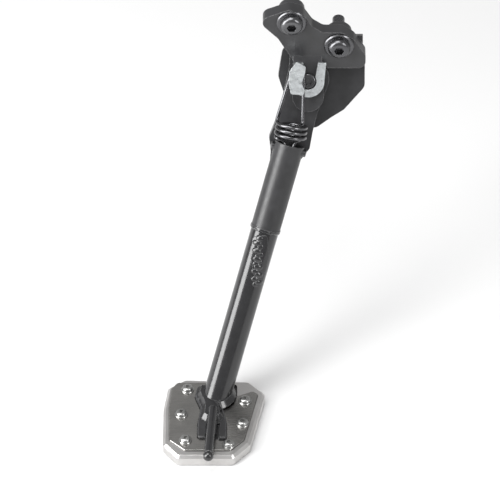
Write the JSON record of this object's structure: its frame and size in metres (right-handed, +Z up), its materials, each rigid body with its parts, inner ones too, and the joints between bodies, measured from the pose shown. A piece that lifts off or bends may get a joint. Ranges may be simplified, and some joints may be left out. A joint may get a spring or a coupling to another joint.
{
  "type": "motorcycle side stand",
  "caption": "Motorcycle side stand with a tubular leg, clevis bracket, nested return springs and an enlarged foot plate with kick-down prong.",
  "frame": {"origin": "midway between the two frame bolts, on the face that bolts to the motorcycle", "axes": "+Y into the motorcycle, square to the mounting face; -Y towards its left side; +X towards its rear; +Z up; the stand is swung down"},
  "size_m": [0.1634, 0.2496, 0.309],
  "materials": {
    "satin_black": "satin",
    "gloss_black": "gloss",
    "black_fastener": "satin",
    "zinc": "satin",
    "bronze_bush": "satin",
    "anodised_aluminium": "satin",
    "brushed_stainless": "satin",
    "bright_fastener": "gloss",
    "spring_steel": "satin"
  },
  "bodies": {
    "bracket_body": {"bracket": "satin_black", "frame_bolt_front": "black_fastener", "frame_bolt_rear": "black_fastener", "pivot_bolt": "black_fastener", "pivot_washer": "zinc", "pivot_nut": "zinc", "thrust_washer_outer": "zinc", "thrust_washer_inner": "zinc", "spring_anchor_plate": "zinc", "spring_post": "zinc", "spring_cheek": "zinc"},
    "leg_body": {"leg_head": "satin_black", "pivot_bush": "bronze_bush", "upper_tube": "satin_black", "spring_cross_pin": "black_fastener", "lower_tube": "gloss_black", "joint_weld": "gloss_black", "tongue_weld": "gloss_black", "head_weld_front": "satin_black", "head_weld_rear": "satin_black", "foot_weld": "gloss_black", "stock_foot": "satin_black", "base_plate": "anodised_aluminium", "clamp_plate_left": "brushed_stainless", "clamp_plate_right": "brushed_stainless", "plate_screw_1": "bright_fastener", "plate_screw_2": "bright_fastener", "plate_screw_3": "bright_fastener", "plate_screw_4": "bright_fastener", "plate_screw_5": "bright_fastener", "plate_screw_6": "bright_fastener", "prong": "gloss_black", "prong_ball": "gloss_black", "prong_weld_front": "gloss_black", "prong_weld_rear": "gloss_black"},
    "spring_body": {"spring_outer": "spring_steel", "spring_inner": "spring_steel"}
  },
  "joints": [
    {"name": "stand_swing", "type": "hinge", "parent": "bracket_body", "child": "leg_body", "pos_m": [-0.0056, -0.017, -0.0464], "axis": [0, -0.8829, 0.4695], "range_deg": [0, 105.7]},
    {"name": "spring_swing", "type": "hinge", "parent": "bracket_body", "child": "spring_body", "pos_m": [-0.0136, -0.01249, -0.03792], "axis": [0, -0.8829, 0.4695], "range_deg": [0, 88.44], "deforming": ["spring_outer", "spring_inner"]}
  ],
  "couplings": [
    {"joint": "spring_swing", "follows": "stand_swing", "ratio": 0.83662}
  ]
}
